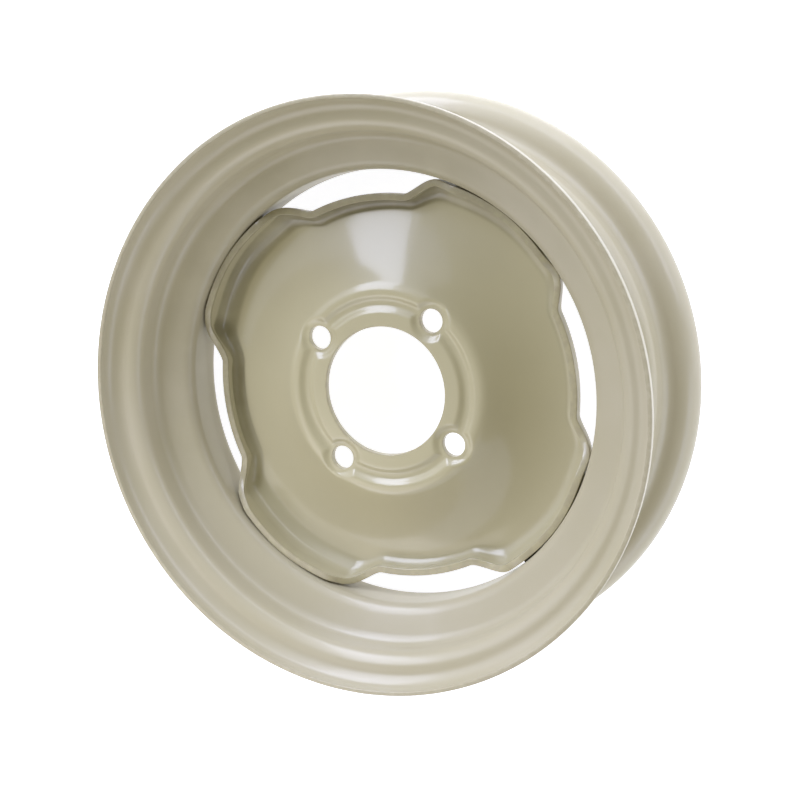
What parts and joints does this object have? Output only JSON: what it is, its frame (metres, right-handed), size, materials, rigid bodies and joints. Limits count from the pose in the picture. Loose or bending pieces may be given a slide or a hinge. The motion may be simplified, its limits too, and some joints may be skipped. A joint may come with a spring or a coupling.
{
  "type": "implement wheel rim",
  "caption": "Bare steel farm implement wheel: a rolled drop-centre rim with curled flanges, welded to a domed disc with a hub bore, bolt holes and slots at its edge.",
  "frame": {"origin": "on the axle line, in the plane of the rear flange's lip, which the wheel lies on", "axes": "+Z along the axle line towards the wheel's front face; +X through the middle of one slot, and the bolt holes lie halfway between +X and +Y and every quarter turn from there"},
  "size_m": [0.339, 0.339, 0.1037],
  "materials": {
    "rim_paint": "cream enamel over rolled steel, satin gloss",
    "disc_paint": "cream enamel over pressed steel, satin gloss",
    "weld_paint": "cream enamel over a rippled weld bead"
  },
  "bodies": {
    "root": {"rim": "rim_paint", "disc": "disc_paint", "weld_bead_1": "weld_paint", "weld_bead_2": "weld_paint", "weld_bead_3": "weld_paint", "weld_bead_4": "weld_paint"}
  },
  "joints": []
}
